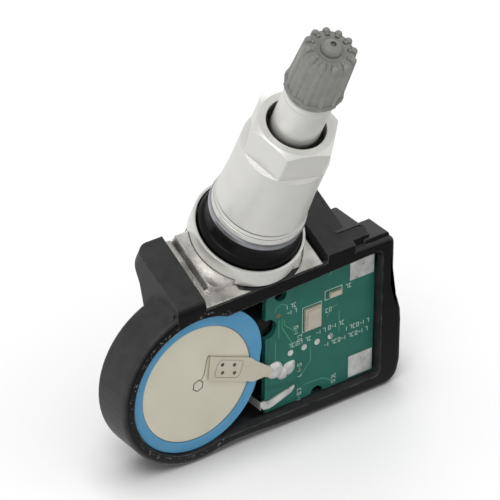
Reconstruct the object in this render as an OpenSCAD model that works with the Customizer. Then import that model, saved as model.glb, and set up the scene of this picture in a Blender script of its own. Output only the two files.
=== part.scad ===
// Clamp-in tyre pressure sensor with a leaning metal valve stem, in millimetres.
// Origin: on the stem's axis, in the plane of the cup's rim, where the wheel's inner face sits.
// X runs along the housing, with the battery at -X. The potted window faces -Y. Z is up.

/* [Stem] */
// Lean of the stem towards the window side, in degrees
stem_lean = 26.5; // [22:0.5:31]
// Radius of the flange that closes the cup
flange_r = 9.6; // [9.2:0.1:9.8]
// Height of the flange's side wall
flange_h = 3.9; // [3.5:0.1:4.4]
// Thickness of the cup's wall
cup_wall = 0.55; // [0.5:0.05:0.9]
// Depth of the cup's recess
cup_depth = 2.7; // [2:0.1:2.9]
// Radius of the clamping thread
thread_r = 5.6; // [5.4:0.05:5.7]
// Height of the clamping thread above the cup's rim
thread_top = 18; // [15:0.5:20]
// Radius of the neck above the nut
neck_r = 4.12; // [3.95:0.01:4.2]
// Height of the groove below the cap
neck_groove_s = 35.1; // [34:0.1:36]
// Width of the groove below the cap
neck_groove_w = 0.35; // [0.2:0.05:0.5]
// Radius of the cap thread
tip_thread_r = 3.85; // [3.7:0.01:3.86]
// Height of the stem's tip above the cup's rim
tip_s = 44.7; // [44.2:0.1:45.1]
// Radius of the air bore below the valve core
air_bore_r = 1.6; // [1.2:0.1:1.8]
// Radius of the chamber that the valve core screws into
core_chamber_r = 2.6; // [2.5:0.05:2.8]

/* [Grommet and washer] */
// Height of the rubber grommet above the cup's rim
grommet_h = 4.45; // [3.8:0.05:5.2]
// Gap between the grommet's bulge and the cup's wall
grommet_gap = 0.25; // [0.1:0.05:0.4]
// How far the grommet's top end stays inside the washer's edge
washer_out = 0.5; // [0.2:0.05:0.7]
// How far the washer stands out beyond the nut's foot collar
washer_lip = 0.2; // [0.1:0.05:0.3]
// Thickness of the washer under the nut
washer_t = 1.3; // [0.9:0.1:1.7]

/* [Nut] */
// Height of the nut
nut_h = 22.3; // [20:0.1:24]
// Radius of the nut's foot collar
nut_collar_r = 8; // [7.8:0.05:8.1]
// Height of the nut's foot collar
nut_collar_h = 1.1; // [0.8:0.1:1.5]
// Radius of the nut's skirt just above the collar
nut_skirt_r = 7.75; // [7.65:0.05:7.8]
// Radius of the nut's skirt just below the hexagon
nut_top_r = 7.44; // [7.3:0.02:7.44]
// Width of the hexagon across its flats
hex_af = 13; // [12:0.5:13.4]
// Height of the hexagon
hex_h = 6; // [4:0.1:7]
// Turn of the hexagon about the stem, in degrees
hex_turn = 17; // [0:0.5:59.5]
// Radius of the hole in the nut's top
nut_hole_r = 5; // [4.8:0.05:5.2]

/* [Valve cap] */
// Height of the cap's bottom edge above the cup's rim
cap_s = 36.7; // [36:0.1:37]
// Height of the cap
cap_h = 12; // [11.4:0.1:13]
// Radius over the cap's scalloped collar
cap_r = 4.95; // [4.8:0.05:5.1]
// Number of ribs round the cap
cap_ribs = 12; // [8:1:14]
// Radius of the cap's top hub
cap_hub_r = 1.7; // [1.5:0.1:2.1]

/* [Valve core] */
// Radius of the core's screw head
core_head_r = 2.45; // [2.3:0.05:2.45]
// Radius of the core's barrel
core_barrel_r = 1.55; // [1.45:0.05:1.6]
// Radius of the valve pin
pin_r = 0.45; // [0.4:0.05:0.5]

/* [Housing] */
// Distance of the window face in front of the stem's seat
front_gap = 6.7; // [6.5:0.1:7.2]
// Thickness of the housing behind the window face
body_depth = 8.2; // [7.9:0.1:9]
// Distance of the battery's centre to the left of the stem
battery_left = 14.65; // [14:0.05:16]
// Depth of the battery's centre below the stem's seat
battery_down = 22.45; // [22.2:0.05:23]
// Thickness of the wall round the battery's pocket
drum_wall = 2.1; // [1.8:0.05:2.6]
// Distance of the housing's right end from the stem
right_out = 25.45; // [24.9:0.05:26]
// How far the lower right side swells beyond the upper one
right_swell = 1.9; // [0:0.1:2.5]
// Rise of the underside between the two feet
waist_rise = 0.8; // [0.2:0.1:1.2]
// Radius of the rounded edges
edge_r = 0.9; // [0.3:0.05:1.1]
// Radius of the lower right corner
foot_corner_r = 3.2; // [2.6:0.1:3.6]
// Thickness of the wall behind the electronics
back_wall = 1.6; // [1.2:0.1:1.8]

/* [Carrier and ears] */
// Height of the ears above the metal plate
ear_rise = 1; // [0.6:0.1:1.6]
// Distance of the left ear's outer side from the stem
left_ear_out = 18.8; // [18:0.1:19.4]
// Distance of the left ear's inner side from the stem
left_ear_in = 13.3; // [12.8:0.1:14.6]
// Distance of the right ear's outer side from the stem
right_ear_out = 17; // [15.5:0.1:17.6]
// Distance of the right ear's inner side from the stem
right_ear_in = 11.3; // [11:0.1:12]
// Distance of the plate's right edge from the stem
plate_right = 10.2; // [9.9:0.1:10.6]
// Thickness of the metal plate
plate_t = 1.2; // [1:0.1:1.4]
// Length of the ears and plate behind the stem's axis
plate_back = 4.6; // [4:0.1:6]
// How much further back the left ear reaches
left_ear_extra = 0.5; // [0:0.1:1]
// Radius of the post that holds the stem's screw
post_r = 9.2; // [8.8:0.1:9.4]
// Length of the post below the plate
post_len = 6.9; // [6:0.1:8]

/* [Electronics] */
// Radius of the coin cell
cell_r = 12.25; // [11.8:0.05:12.3]
// Thickness of the coin cell
cell_t = 5; // [4.4:0.1:5]
// Thickness of the sleeve's front lip
sleeve_t = 0.25; // [0.15:0.05:0.3]
// Thickness of the sleeve's wall round the cell
sleeve_wall = 0.5; // [0.4:0.05:0.6]
// Width of the sleeve's turned-in lip
sleeve_lip = 1.45; // [1:0.05:1.8]
// Depth of the circuit board's face behind the window face
board_deep = 1.7; // [1.5:0.1:2]
// Thickness of the circuit board
board_t = 1; // [0.8:0.1:1.2]
// Depth of the potting's surface behind the window face
potting_deep = 0.3; // [0.2:0.05:0.4]

/* [Hidden] */
// Small gap between solids that touch
fit = 0.02;
// Running gap of a screw thread or sliding pin
run = 0.05;

front_y = -front_gap;
back_y = front_y + body_depth;
drum_shift = 0.12;
sleeve_r = cell_r + fit + sleeve_wall;
pocket_r = sleeve_r + 0.13;
drum_r = pocket_r + drum_wall;
cup_r = flange_r - cup_wall;
grommet_bulge_r = cup_r - grommet_gap;
washer_r = nut_collar_r + washer_lip;
grommet_top_r = washer_r - washer_out;
floor_y = back_y - back_wall;
battery_x = -battery_left;
battery_z = -battery_down;
drum_x = battery_x + drum_shift;
drum_z = battery_z + drum_shift;
base_z = drum_z - drum_r;
ridge_z = (-flange_h - front_gap * sin(stem_lean)) / cos(stem_lean);
plate_front = front_gap / cos(stem_lean) + flange_h * tan(stem_lean);

// Points and outlines

function arc(cx, cz, r, a0, a1, n) =
    [for (i = [0:n]) let (a = a0 + (a1 - a0) * i / n) [cx + r * cos(a), cz + r * sin(a)]];
function ease(t) = (1 - cos(180 * max(0, min(1, t)))) / 2;
function unit(v) = v / norm(v);

// Housing outline seen from the window side, anticlockwise from the top right corner
top_corner_r = 1.4;
swell_top_z = -16;
swell_low_z = -24.5;
waist_x0 = -7;
waist_x1 = 10;
foot_x = right_out + right_swell - foot_corner_r - 0.3;
function right_x(z) = right_out + right_swell * ease((swell_top_z - z) / (swell_top_z - swell_low_z));
outline = concat(
    arc(right_out - top_corner_r, ridge_z - top_corner_r, top_corner_r, 0, 90, 5),
    arc(drum_x, drum_z, drum_r, 88, 284, 36),
    [for (i = [0:6]) let (t = i / 6)
        [waist_x0 + (waist_x1 - waist_x0) * t, base_z + waist_rise * (1 - ease(t))]],
    arc(foot_x, base_z + foot_corner_r, foot_corner_r, 270, 350, 8),
    [for (z = [base_z + foot_corner_r + 1.2 : 2 : ridge_z - 2 * top_corner_r]) [right_x(z), z]]
);
function outward(p, i) =
    let (n = len(p), d = p[(i + 1) % n] - p[(i + n - 1) % n]) unit([d[1], -d[0]]);
function inset(p, by) = [for (i = [0:len(p) - 1]) p[i] - by * outward(p, i)];

// A closed solid through rings of equal length, each given as [y, points in X and Z]
module loft(rings) {
    n = len(rings[0][1]);
    m = len(rings);
    points = [for (r = rings) for (p = r[1]) [p[0], r[0], p[1]]];
    sides = [for (k = [0:m - 2]) for (i = [0:n - 1])
        let (j = (i + 1) % n, a = k * n, b = (k + 1) * n)
        [[a + i, a + j, b + j], [a + i, b + j, b + i]]];
    caps = [[for (i = [0:n - 1]) n - 1 - i], [for (i = [0:n - 1]) (m - 1) * n + i]];
    polyhedron(points, concat(caps, [for (s = sides) each s]));
}

// A slab with rounded front and back edges
module rounded_slab(p, y0, y1, r) {
    steps = 4;
    front = [for (i = [0:steps]) let (a = 90 * i / steps)
        [y0 + r * (1 - cos(a)), inset(p, r * (1 - sin(a)))]];
    back = [for (i = [0:steps]) let (a = 90 * i / steps)
        [y1 - r * (1 - sin(a)), inset(p, r * (1 - cos(a)))]];
    loft(concat(front, back));
}

// Extrudes an outline in X and Z from y0 back to y1
module across(y0, y1) {
    translate([0, y1, 0]) rotate([90, 0, 0]) linear_extrude(y1 - y0) children();
}

// Extrudes an outline in Y and Z from x0 to x1
module along(x0, x1) {
    translate([x0, 0, 0]) rotate([90, 0, 90]) linear_extrude(x1 - x0) children();
}

// Places children in the stem's frame: Z along the stem, Y square to it and to the back
module on_stem(s = 0) {
    rotate([stem_lean, 0, 0]) translate([0, 0, s]) children();
}

module ring(r_out, r_in, h) {
    difference() {
        cylinder(r = r_out, h = h, $fn = 96);
        translate([0, 0, -1]) cylinder(r = r_in, h = h + 2, $fn = 96);
    }
}

// A disc that faces the window, with its front at y0
module disc(x, z, r, y0, y1) {
    translate([x, y1, z]) rotate([90, 0, 0]) cylinder(r = r, h = y1 - y0, $fn = 72);
}

// Housing

ear_s = ear_rise - flange_h;
deck_s = -flange_h - plate_t;
function stem_z(y, s) = (s + y * sin(stem_lean)) / cos(stem_lean);

// Side profile of the block that carries the stem and the ears
hump_depth = 11.7;
hump_foot_z = -15.5;
module hump_profile() {
    back = front_y + hump_depth;
    top_back_y = (plate_back + left_ear_extra) * cos(stem_lean) - ear_s * sin(stem_lean);
    polygon([
        [front_y, hump_foot_z],
        [front_y, stem_z(front_y, ear_s)],
        [top_back_y, stem_z(top_back_y, ear_s)],
        [top_back_y + 0.55, stem_z(top_back_y, ear_s) - 1.3],
        [top_back_y + 0.5, stem_z(top_back_y, ear_s) - 2.9],
        [back - 0.6, -6.6],
        [back_y + 1.9, -10],
        [back_y - 0.3, hump_foot_z]
    ]);
}

// Plan of the block, seen along the stem
hump_corner_r = 2.3;
module hump_plan() {
    x0 = -left_ear_out;
    x1 = right_ear_out;
    left_back = plate_back + left_ear_extra;
    polygon(concat(
        [[x0, -20], [x1, -20]],
        arc(x1 - 0.8, plate_back - 0.8, 0.8, 0, 90, 4),
        [[-left_ear_in, plate_back], [-left_ear_in, left_back]],
        arc(x0 + hump_corner_r, left_back - hump_corner_r, hump_corner_r, 90, 180, 8)
    ));
}

module hump() {
    intersection() {
        along(-left_ear_out - 1, right_ear_out + 1) hump_profile();
        on_stem(-30) linear_extrude(40) hump_plan();
    }
}

// Rounding of the left ear's top front edge, down to the ridge of the window face
module ear_rounding() {
    deep = 1.3;
    steps = 5;
    y1 = front_y + deep;
    z1 = stem_z(y1, ear_s);
    along(-left_ear_out - 1, -left_ear_in + 0.4) polygon(concat(
        [[front_y - 1, z1 + 2], [front_y - 1, ridge_z]],
        [for (i = [0:steps]) let (a = 90 * i / steps)
            [y1 - deep * cos(a), ridge_z + (z1 - ridge_z) * sin(a)]],
        [[y1, z1 + 2]]
    ));
}

// Fillet between the left ear's side and the round end
module ear_fillet() {
    x = -left_ear_out;
    across(front_y + 1.1, back_y - 0.2) polygon([
        [x + 0.5, -7.1], [x, -7.1], [x - 0.15, -7.5], [x - 0.4, -7.85], [x - 0.8, -8.15],
        [x - 1.5, -8.5], [x + 0.5, -9.5]
    ]);
}

// Stepped shoulder to the right of the ear
shoulder_z = -4.9;
shoulder_x = 20.3;
step_x = 24.1;
step_z = -6.8;
shoulder_front_y = -4;
step_back_y = -1;
ledge_y = front_y + 0.95;
module shoulder() {
    x0 = right_ear_out - 2;
    low_z = -13;
    across(shoulder_front_y, back_y + 1.2) polygon([
        [x0, low_z], [shoulder_x, low_z],
        [shoulder_x, shoulder_z - 0.6], [shoulder_x - 0.2, shoulder_z - 0.2],
        [shoulder_x - 0.6, shoulder_z], [x0, shoulder_z]
    ]);
    along(x0, shoulder_x + 0.2) polygon([
        [ledge_y, low_z], [ledge_y, stem_z(ledge_y, ear_s)],
        [shoulder_front_y + 0.1, stem_z(shoulder_front_y + 0.1, ear_s)], [shoulder_front_y + 0.1, low_z]
    ]);
    across(front_y + 0.6, step_back_y) polygon([
        [shoulder_x - 1, low_z], [right_out - 0.9, low_z + 1], [right_out - 0.9, ridge_z - 0.6],
        [step_x + 0.3, step_z - 0.4], [step_x, step_z], [shoulder_x - 1, step_z]
    ]);
}

// Slope behind the lower step, down to the back
module shoulder_slope() {
    low_z = -11;
    along(shoulder_x, right_out + right_swell + 1) polygon([
        [step_back_y, step_z + 1], [step_back_y, step_z], [back_y, low_z],
        [back_y + 2, low_z], [back_y + 2, step_z + 1]
    ]);
}

// Window opening in the front face
pocket_right = right_out - 2.6;
pocket_low = battery_z - pocket_r + 0.6;
pocket_top_left = ridge_z - 2.9;
pocket_top_right = ridge_z - 1.9;
module pocket_outline(grow = 0) {
    translate([battery_x, battery_z]) circle(r = pocket_r + grow, $fn = 96);
    r = 1.3;
    g = grow;
    polygon(concat(
        [[battery_x + 4, pocket_top_left - 0.3 + g]],
        [[battery_x + 4, pocket_low - g]],
        arc(pocket_right - r + g, pocket_low + r - g, r, 270, 360, 5),
        arc(pocket_right - r + g, pocket_top_right - r + g, r, 0, 90, 5)
    ));
}

// Posts on the housing's floor that locate the board
board_posts = [[2.9, -12, 1.15], [0.2, -17.9, 1.75], [10.6, -34.4, 1.2]];
screw_head_r = 3.4;
screw_head_h = 2.2;
post_end_s = deck_s - post_len;
screw_seat_s = post_end_s + 3.4;
port_x = 9;
port_z = -24;
port_r = 1;
module housing() {
    color([0.09, 0.09, 0.1]) {
        difference() {
            union() {
                rounded_slab(outline, front_y, back_y, edge_r);
                hump();
                on_stem(post_end_s) cylinder(r = post_r, h = post_len + 1, $fn = 96);
                shoulder();
                ear_fillet();
            }
            ear_rounding();
            shoulder_slope();
            across(front_y - 3, floor_y) pocket_outline();
            on_stem() deck_cuts();
            on_stem() screw_hole();
            disc(port_x, port_z, port_r, floor_y - 1, back_y + 1);
        }
        for (p = board_posts) disc(p[0], p[1], p[2], board_back_y, floor_y + 0.3);
    }
}

// Bed of the metal plate, with a thin metal lip over the front wall
lip_t = 0.35;
lip_w = 1.2;
module deck_cuts() {
    deck_w = left_ear_in + right_ear_in;
    translate([-left_ear_in, -plate_front + lip_w, -flange_h - plate_t]) cube([deck_w, 40, 20]);
    translate([-left_ear_in, -plate_front - 6, -flange_h - lip_t]) cube([deck_w, 10, 20]);
    slot_w = right_ear_in - plate_right;
    slot_deep = 2.6;
    translate([plate_right, -plate_front + 0.5, -flange_h - slot_deep]) cube([slot_w, 40, 20]);
}

module screw_hole() {
    translate([0, 0, post_end_s - 9])
        cylinder(r = screw_head_r + 0.4, h = screw_seat_s - post_end_s + 9, $fn = 64);
    translate([0, 0, screw_seat_s - 1]) cylinder(r = screw_r + 0.2, h = 20, $fn = 48);
    translate([0, 0, deck_s - spigot_h]) cylinder(r = spigot_r + 0.1, h = 20, $fn = 64);
}

// Nickel-plated plate between the ears

land_h = 1.2;
land_left = 11.3;
groove_w = 0.75;
groove_deep = 0.7;
module carrier_plate() {
    color([0.72, 0.7, 0.64]) on_stem() difference() {
        union() {
            plate_blank();
            raised_land();
        }
        translate([0, 0, -flange_h]) cylinder(r = flange_r + 0.12, h = 10, $fn = 96);
        translate([0, 0, deck_s - 1]) cylinder(r = spigot_r + fit, h = 10, $fn = 64);
        translate([-land_left - 0.5, -6.2, -flange_h - groove_deep]) cube([0.5, 16, 3]);
        flange_groove();
    }
}

// Groove round the front of the flange, to the right of the raised land
module flange_groove() {
    intersection() {
        translate([0, 0, -flange_h - groove_deep]) cylinder(r = flange_r + groove_w, h = 3, $fn = 96);
        translate([-6.1, -20, -10]) cube([30, 17, 20]);
    }
}

module plate_blank() {
    gap = 0.03;
    translate([-left_ear_in + gap, -plate_front + lip_w + gap, deck_s + gap])
        cube([left_ear_in + plate_right - gap, plate_front - lip_w + plate_back - 0.2, plate_t - gap]);
    translate([-left_ear_in + gap, -plate_front + 0.05, -flange_h - lip_t + gap])
        cube([left_ear_in + plate_right - gap, lip_w + 0.2, lip_t - gap]);
    intersection() {
        translate([0, 0, deck_s + gap]) cylinder(r = post_r, h = plate_t - gap, $fn = 96);
        translate([-20, 0, deck_s]) cube([40, 20, 5]);
    }
}

// Raised land that stands against the left of the flange
module raised_land() {
    r = 1.2;
    front = 7.2;
    translate([0, 0, -flange_h - 0.1]) linear_extrude(land_h + 0.1) polygon(concat(
        arc(-land_left + r, -front + r, r, 180, 270, 5),
        [[-5, -front], [-5, plate_back - 0.3], [-land_left, plate_back - 0.3]]
    ));
}

// Circuit board and its parts

board_y = front_y + board_deep;
board_back_y = board_y + board_t;
board_left = -0.2;
board_right = pocket_right - 0.45;
board_low = pocket_low + 0.35;
board_top_left = pocket_top_left - 0.55;
board_top_right = pocket_top_right - 0.5;
module circuit_board() {
    color([0.14, 0.42, 0.33]) across(board_y, board_back_y) difference() {
        polygon(concat(
            arc(board_left + 1.6, board_top_left - 1.6, 1.6, 90, 180, 5),
            [[board_left, board_low], [board_right, board_low], [board_right, board_top_right]]
        ));
        for (p = board_posts) translate([p[0], p[1]]) circle(r = p[2] + 0.1, $fn = 40);
    }
}

// Pressure sensor over the port in the back wall
chip_w = 5;
chip_t = 1.9;
module sensor_chip() {
    color([0.12, 0.12, 0.13]) difference() {
        translate([port_x - chip_w / 2, board_back_y + fit, port_z - chip_w / 2])
            cube([chip_w, chip_t, chip_w]);
        disc(port_x, port_z, 0.6, board_back_y + chip_t - 0.5, board_back_y + chip_t + 1);
    }
}

crystal_box = [[7.75, -20.9], [11, -16.7]];
crystal_t = 0.7;
module crystal() {
    size = crystal_box[1] - crystal_box[0];
    rim = 0.35;
    color([0.75, 0.66, 0.52]) {
        translate([crystal_box[0][0], board_y - crystal_t + 0.2, crystal_box[0][1]])
            cube([size[0], crystal_t - 0.2 - fit, size[1]]);
        translate([crystal_box[0][0] + rim, board_y - crystal_t, crystal_box[0][1] + rim])
            cube([size[0] - 2 * rim, 0.3, size[1] - 2 * rim]);
    }
}

capacitor_x = 13.2;
capacitor_z = -16.1;
module chip_capacitor() {
    t = 0.5;
    color([0.6, 0.52, 0.42]) translate([capacitor_x, board_y - t, capacitor_z]) cube([1.7, t - fit, 0.9]);
    color("silver") for (dx = [-0.35, 1.7])
        translate([capacitor_x + dx, board_y - t - 0.04, capacitor_z - 0.04])
        cube([0.35, t + 0.04 - fit, 0.98]);
}

// Folded strip antenna behind the board, soldered through it at two pads
pad_x = 19.6;
pad_w = 5;
pad_h = 4.2;
pad_top_z = -12.3;
pad_low_z = board_low + 2.6;
strip_w = 3;
strip_t = 0.4;
strip_y = floor_y - strip_t - 0.15;
module antenna_strip() {
    color([0.8, 0.8, 0.78]) {
        translate([pad_x - strip_w / 2, strip_y, pad_low_z]) cube([strip_w, strip_t, pad_top_z - pad_low_z]);
        for (z = [pad_low_z, pad_top_z - strip_t])
            translate([pad_x - strip_w / 2, board_back_y + fit, z])
                cube([strip_w, strip_y - board_back_y - fit + strip_t, strip_t]);
    }
}

// Battery

cell_y = front_y + 0.95;
module battery_cell() {
    crimp = 0.5;
    color([0.72, 0.7, 0.64]) translate([battery_x, cell_y, battery_z]) rotate([-90, 0, 0])
        rotate_extrude($fn = 120) polygon(concat(
            [[0, 0]],
            arc(cell_r - crimp, crimp, crimp, 270, 360, 4),
            [[cell_r, cell_t - 1.1], [cell_r - 0.5, cell_t - 0.45], [cell_r - 1.2, cell_t - 0.4],
             [cell_r - 1.2, cell_t], [0, cell_t]]
        ));
}

lug_r = 9.8;
lug_out = 4.3;
lug_turn = 43.6;
module lug_disc(grow, y0, y1) {
    disc(battery_x + lug_out * cos(lug_turn), battery_z + lug_out * sin(lug_turn), lug_r + grow, y0, y1);
}

module battery_sleeve() {
    g = fit;
    r = cell_r + g;
    inner = cell_r - sleeve_lip;
    color([0.22, 0.5, 0.75]) {
        translate([battery_x, cell_y, battery_z]) rotate([-90, 0, 0]) rotate_extrude($fn = 120) polygon([
            [inner, -g], [inner, -0.12], [inner + 0.3, -sleeve_t],
            [sleeve_r - 0.2, -sleeve_t], [sleeve_r, -0.05],
            [sleeve_r, cell_t - 0.8], [sleeve_r - 0.1, cell_t - 0.7], [r, cell_t - 0.7], [r, -g]
        ]);
        difference() {
            intersection() {
                across(cell_y - sleeve_t, cell_y + 1) pocket_outline(-0.1);
                lug_disc(0, cell_y - sleeve_t, cell_y + 1);
            }
            disc(battery_x, battery_z, r + 0.15, cell_y - 1, cell_y + 2);
        }
    }
}

// Welded strip from the cell's face down to the board, in a frame that lies along it
tab_t = 0.15;
tab_w = 4.34;
tab_len = 13.6;
tab_dive = 21.8;
tab_right = 2.45;
tab_up = 2.25;
tab_foot = 0.25;
neck_w = 2.7;
taper_len = 4.5;
weld_w = 3.2;
module positive_tab() {
    y1 = cell_y - sleeve_t - fit;
    weld_x = cell_r - sleeve_lip - 4;
    half = tab_w / 2;
    low = -neck_w / 2;
    high = neck_w / 8;
    color([0.74, 0.71, 0.65])
    translate([battery_x + tab_right, 0, battery_z + tab_up]) rotate([0, tab_dive, 0]) {
        across(y1 - tab_t, y1) polygon([
            [0.55, -half], [tab_len - taper_len, -half], [tab_len - 0.75 * taper_len, -half - 0.1],
            [tab_len - 0.27 * taper_len, low], [tab_len, low], [tab_len, high],
            [tab_len - 0.3 * taper_len, high + 0.4],
            [tab_len - 0.93 * taper_len, half - 0.6], [tab_len - 1.25 * taper_len, half], [-0.8, half]
        ]);
        across(y1 - fit / 2, cell_y - fit) translate([0.6, -weld_w / 2]) square([weld_x - 0.6, weld_w]);
        across(y1 - fit / 2, board_y - fit) translate([tab_len - tab_foot, low + 0.1])
            square([tab_foot, high - low - 0.15]);
    }
}

// Strip from the cell's back to the board: weld pad, two legs, and a tinned end on the board
negative_w = 1.5;
negative_x = -1.2;
negative_low = -33.3;
negative_pad = 5.5;
negative_t = 0.3;
tin_h = 1.6;
tin_right = 5.7;
tin_left_z = -31.78;
tin_right_z = -30.85;
module negative_tab() {
    y0 = cell_y + cell_t + fit;
    front = board_y - negative_t - fit;
    color([0.74, 0.72, 0.68]) {
        translate([battery_x - negative_pad / 2, y0, battery_z - negative_pad / 2])
            cube([negative_pad, tab_t, negative_pad]);
        translate([battery_x, y0, negative_low]) cube([2 * negative_w, tab_t, battery_z - negative_low]);
        translate([battery_x + fit, y0, negative_low])
            cube([negative_x - battery_x - fit, tab_t, negative_w]);
        translate([negative_x - tab_t, front + 0.05, negative_low])
            cube([tab_t, y0 + tab_t - front - 0.05, negative_w]);
        across(front, board_y - fit) tinned_end();
    }
}

module tinned_end() {
    h = tin_h;
    x0 = negative_x;
    z0 = tin_left_z;
    polygon([
        [x0, z0], [x0 + 0.5 * h, z0], [x0 + 0.75 * h, z0 - 0.19 * h], [x0 + 1.4 * h, z0 - 0.1 * h],
        [tin_right, tin_right_z], [tin_right, tin_right_z - 0.25 * h],
        [tin_right - 0.4 * h, tin_right_z - 0.75 * h], [x0 + 1.55 * h, z0 - 1.03 * h],
        [x0 + h, z0 - 1.13 * h], [x0 + 0.3 * h, z0 - h], [x0 - 0.06 * h, z0 - 0.5 * h]
    ]);
}

// Joint at the positive tab, made of blobs given as X, Z, radius and height in shares of the largest one
joint_x = 1.75;
joint_z = -26.5;
joint_r = 1.65;
joint_blobs = [[0, 0, 1, 0.52], [1, -0.73, 0.76, 0.42], [1.73, -0.42, 0.82, 0.36], [2.15, 0, 0.42, 0.18]];
pad_t = 0.2;
module solder_joints() {
    y1 = board_y - fit;
    color([0.82, 0.82, 0.8]) {
        for (z = [pad_top_z, pad_low_z]) translate([pad_x - pad_w / 2, y1 - pad_t, z - pad_h / 2])
            cube([pad_w, pad_t, pad_h]);
        for (b = joint_blobs) translate([joint_x + b[0] * joint_r, y1, joint_z + b[1] * joint_r])
            solder_blob(b[2] * joint_r, b[3] * joint_r);
    }
}

// A low rounded blob that stands on the board
module solder_blob(r, h) {
    cap_r = (r * r + h * h) / (2 * h);
    rotate([90, 0, 0]) intersection() {
        translate([0, 0, h - cap_r]) sphere(r = cap_r, $fn = 48);
        cylinder(r = r + 1, h = h + 1, $fn = 48);
    }
}

// Clear potting that fills the window round everything in it
module potting() {
    g = 0.03;
    y0 = front_y + potting_deep;
    film_y = cell_y - sleeve_t - tab_t - 3 * g;
    tab_room_x = [battery_x + 6, joint_x + 2.7 * joint_r];
    tab_room_h = 3.5;
    board_room_x = board_left - 3;
    color([0.8, 0.85, 0.82, 0.3]) difference() {
        across(y0, floor_y - g) pocket_outline(-g);
        disc(battery_x, battery_z, pocket_r + 0.1, film_y, floor_y + 1);
        lug_disc(0.1, film_y, cell_y + 1.1);
        across(board_y - g, floor_y + 1) polygon([
            [board_room_x, board_low - 0.2], [pocket_right - 0.1, board_low - 0.2],
            [pocket_right - 0.1, board_top_right + 0.1], [board_room_x, board_top_left + 0.1]
        ]);
        across(film_y, board_y) polygon([
            [tab_room_x[0], battery_z + tab_up + 0.2], [tab_room_x[1], joint_z + tab_room_h],
            [tab_room_x[1], joint_z - tab_room_h], [tab_room_x[0], battery_z - 5.5]
        ]);
        for (p = board_posts) disc(p[0], p[1], p[2] + 0.1, board_y, floor_y + 1);
        translate([board_room_x, board_y - negative_t - 0.1, tin_left_z - 1.3 * tin_h])
            cube([tin_right + 0.3 - board_room_x, negative_t + 0.1, tin_right_z - tin_left_z + 1.4 * tin_h]);
        translate([battery_x, cell_y + cell_t - g, negative_low - 0.1])
            cube([board_room_x + 0.2 - battery_x, 5, negative_w + 0.2]);
        crystal_size = crystal_box[1] - crystal_box[0];
        translate([crystal_box[0][0] - g, board_y - crystal_t - g, crystal_box[0][1] - g])
            cube([crystal_size[0] + 2 * g, 2, crystal_size[1] + 2 * g]);
        translate([capacitor_x - 0.4, board_y - 0.6, capacitor_z - 0.1]) cube([2.5, 2, 1.1]);
        for (z = [pad_top_z, pad_low_z])
            translate([pad_x - pad_w / 2 - g, board_y - pad_t - 0.07, z - pad_h / 2 - g])
            cube([pad_w + 2 * g, 2, pad_h + 2 * g]);
    }
}

// Valve stem and what clamps it

screw_r = 2;
spigot_r = 3.6;
spigot_h = 0.8;
core_seat_s = 33;
module valve_stem() {
    bevel = 0.25;
    g = neck_groove_w;
    color([0.8, 0.8, 0.78]) on_stem() rotate_extrude($fn = 120) polygon([
        [screw_r + fit, deck_s - spigot_h + 0.05], [spigot_r, deck_s - spigot_h + 0.05],
        [spigot_r, -flange_h + fit],
        [flange_r - bevel, -flange_h + fit], [flange_r, -flange_h + bevel],
        [flange_r, -bevel], [flange_r - bevel, 0], [cup_r + 0.1, 0], [cup_r, -0.1],
        [cup_r, -cup_depth], [thread_r, -cup_depth], [thread_r, thread_top - 0.6],
        [thread_r - 0.6, thread_top], [neck_r, thread_top + 1],
        [neck_r, neck_groove_s - g / 2], [neck_r - g / 2, neck_groove_s], [neck_r, neck_groove_s + g / 2],
        [neck_r, cap_s - 0.6], [tip_thread_r, cap_s - 0.3], [tip_thread_r, tip_s - 0.4],
        [tip_thread_r - 0.4, tip_s], [core_chamber_r, tip_s],
        [core_chamber_r, core_seat_s + 4], [core_barrel_r + 0.35, core_seat_s + 2.6],
        [core_barrel_r + 0.35, core_seat_s - 4], [air_bore_r, core_seat_s - 4.6],
        [air_bore_r, 8], [screw_r + fit, 7.4]
    ]);
}

// Hollow screw that holds the stem from below
module stem_screw() {
    color([0.55, 0.55, 0.54]) on_stem() difference() {
        union() {
            translate([0, 0, screw_seat_s - screw_head_h])
                cylinder(r = screw_head_r, h = screw_head_h - fit, $fn = 64);
            translate([0, 0, screw_seat_s - 1]) cylinder(r = screw_r, h = 7.2 - screw_seat_s, $fn = 48);
        }
        translate([0, 0, screw_seat_s - screw_head_h - 1]) cylinder(r = 1.9, h = 2.4, $fn = 6);
        translate([0, 0, screw_seat_s - 6]) cylinder(r = 0.8, h = 30, $fn = 32);
    }
}

module rubber_grommet() {
    r_in = thread_r + fit;
    color([0.05, 0.05, 0.05]) on_stem() rotate_extrude($fn = 120) polygon(concat(
        [[r_in, -cup_depth + fit], [grommet_bulge_r - 0.2, -cup_depth + fit]],
        arc(grommet_bulge_r - 1.5, 0.1, 1.5, -50, 62, 9),
        [[grommet_top_r + 0.15, 2.1], [grommet_top_r, 3.2], [grommet_top_r, grommet_h - 0.4],
         [grommet_top_r - 0.3, grommet_h - 0.05], [r_in, grommet_h - 0.05]]
    ));
}

nut_s = grommet_h + washer_t;
nut_end_s = nut_s + nut_h;
module nut_washer() {
    color([0.55, 0.58, 0.62]) on_stem(grommet_h) rotate_extrude($fn = 120) polygon([
        [thread_r + run, 0], [washer_r - 0.15, 0], [washer_r, 0.15], [washer_r, washer_t - 0.3],
        [washer_r - 0.15, washer_t - 0.05], [thread_r + run, washer_t - 0.05]
    ]);
}

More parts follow.
